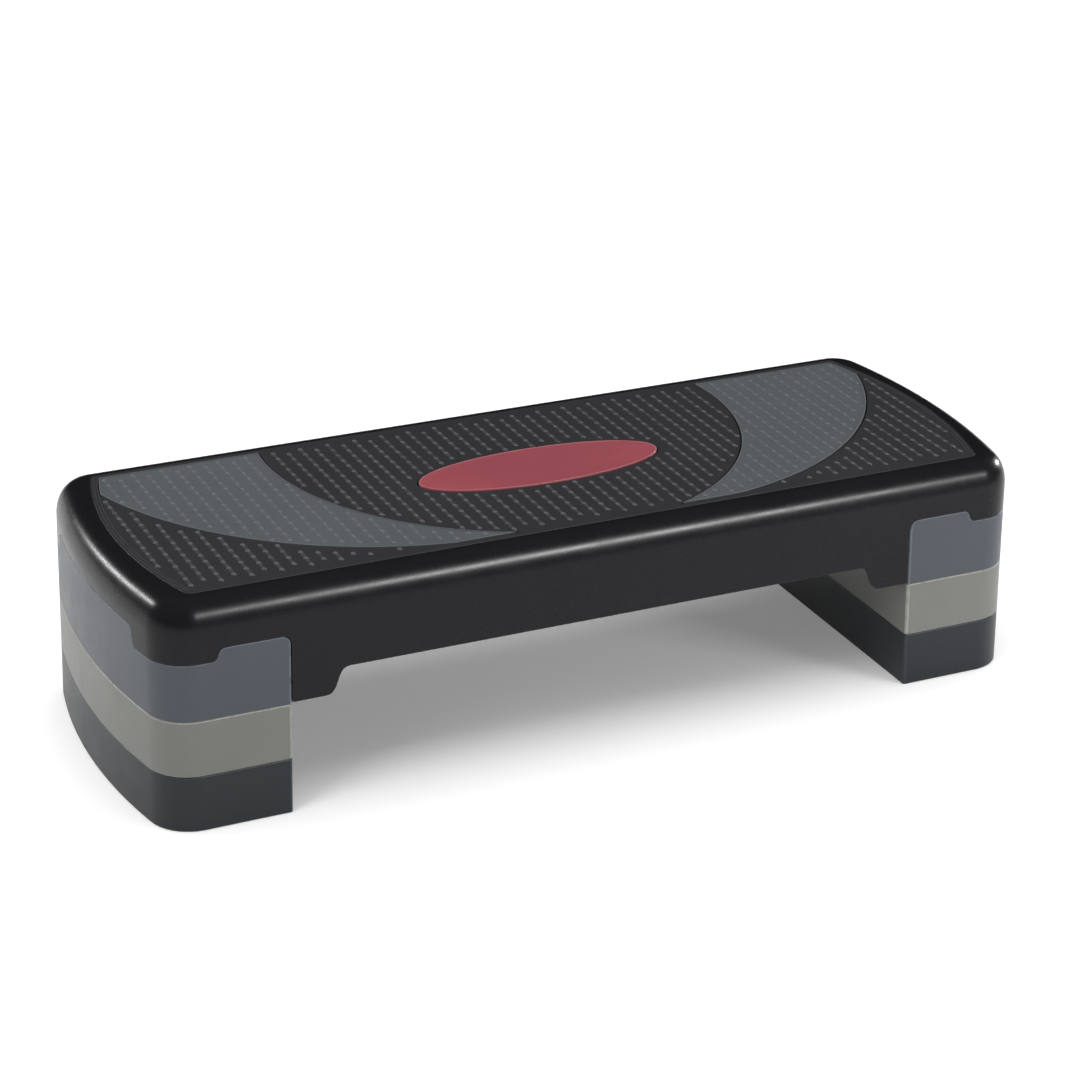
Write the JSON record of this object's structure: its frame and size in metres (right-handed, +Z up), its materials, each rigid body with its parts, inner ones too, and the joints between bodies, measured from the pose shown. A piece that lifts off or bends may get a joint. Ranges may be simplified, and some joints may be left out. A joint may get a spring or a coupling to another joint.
{
  "type": "adjustable aerobic step platform",
  "caption": "Long black step platform with a ribbed tread, grey crescents and a red oval, on end feet raised by stacking riser blocks.",
  "frame": {"origin": "on the floor, under the middle of the platform", "axes": "+X along the platform, +Y across it towards the back, +Z up"},
  "size_m": [0.844, 0.3146, 0.2049],
  "materials": {
    "deck_black": "injection-moulded, satin, fine texture on the skirt and a smooth rim",
    "tread_black": "matt, covered in small raised beads",
    "tread_grey": "matt, covered in small raised beads",
    "badge_red": "smooth satin",
    "foot_slate": "injection-moulded, satin",
    "riser_khaki": "injection-moulded, satin",
    "riser_charcoal": "injection-moulded, satin",
    "pad_rubber": "matt non-slip rubber",
    "screw_steel": "plated"
  },
  "bodies": {
    "lower_risers": {"riser_lower_left": "riser_charcoal", "riser_lower_right": "riser_charcoal", "pad_lower_left_1": "pad_rubber", "pad_lower_left_2": "pad_rubber", "pad_lower_left_3": "pad_rubber", "pad_lower_left_4": "pad_rubber", "pad_lower_right_1": "pad_rubber", "pad_lower_right_2": "pad_rubber", "pad_lower_right_3": "pad_rubber", "pad_lower_right_4": "pad_rubber"},
    "upper_riser_left": {"riser_upper_left": "riser_khaki", "pad_upper_left_1": "pad_rubber", "pad_upper_left_2": "pad_rubber", "pad_upper_left_3": "pad_rubber", "pad_upper_left_4": "pad_rubber"},
    "upper_riser_right": {"riser_upper_right": "riser_khaki", "pad_upper_right_1": "pad_rubber", "pad_upper_right_2": "pad_rubber", "pad_upper_right_3": "pad_rubber", "pad_upper_right_4": "pad_rubber"},
    "platform": {"deck_shell": "deck_black", "tread_mat": "tread_black", "tread_crescent_left": "tread_grey", "tread_crescent_right": "tread_grey", "badge_oval": "badge_red", "end_foot_left": "foot_slate", "end_foot_right": "foot_slate", "foot_screw_left_1": "screw_steel", "foot_screw_left_2": "screw_steel", "foot_screw_left_3": "screw_steel", "foot_screw_left_4": "screw_steel", "foot_screw_right_1": "screw_steel", "foot_screw_right_2": "screw_steel", "foot_screw_right_3": "screw_steel", "foot_screw_right_4": "screw_steel", "pad_foot_left_1": "pad_rubber", "pad_foot_left_2": "pad_rubber", "pad_foot_left_3": "pad_rubber", "pad_foot_left_4": "pad_rubber", "pad_foot_right_1": "pad_rubber", "pad_foot_right_2": "pad_rubber", "pad_foot_right_3": "pad_rubber", "pad_foot_right_4": "pad_rubber"}
  },
  "joints": [
    {"name": "lift_upper_left", "type": "slide", "parent": "lower_risers", "child": "upper_riser_left", "axis": [0, 0, 1], "range_m": [0, 0.06]},
    {"name": "lift_upper_right", "type": "slide", "parent": "lower_risers", "child": "upper_riser_right", "axis": [0, 0, 1], "range_m": [0, 0.06]},
    {"name": "lift_platform", "type": "slide", "parent": "upper_riser_left", "child": "platform", "axis": [0, 0, 1], "range_m": [0, 0.06]}
  ],
  "couplings": [
    {"joint": "lift_upper_right", "follows": "lift_upper_left", "ratio": 1}
  ]
}
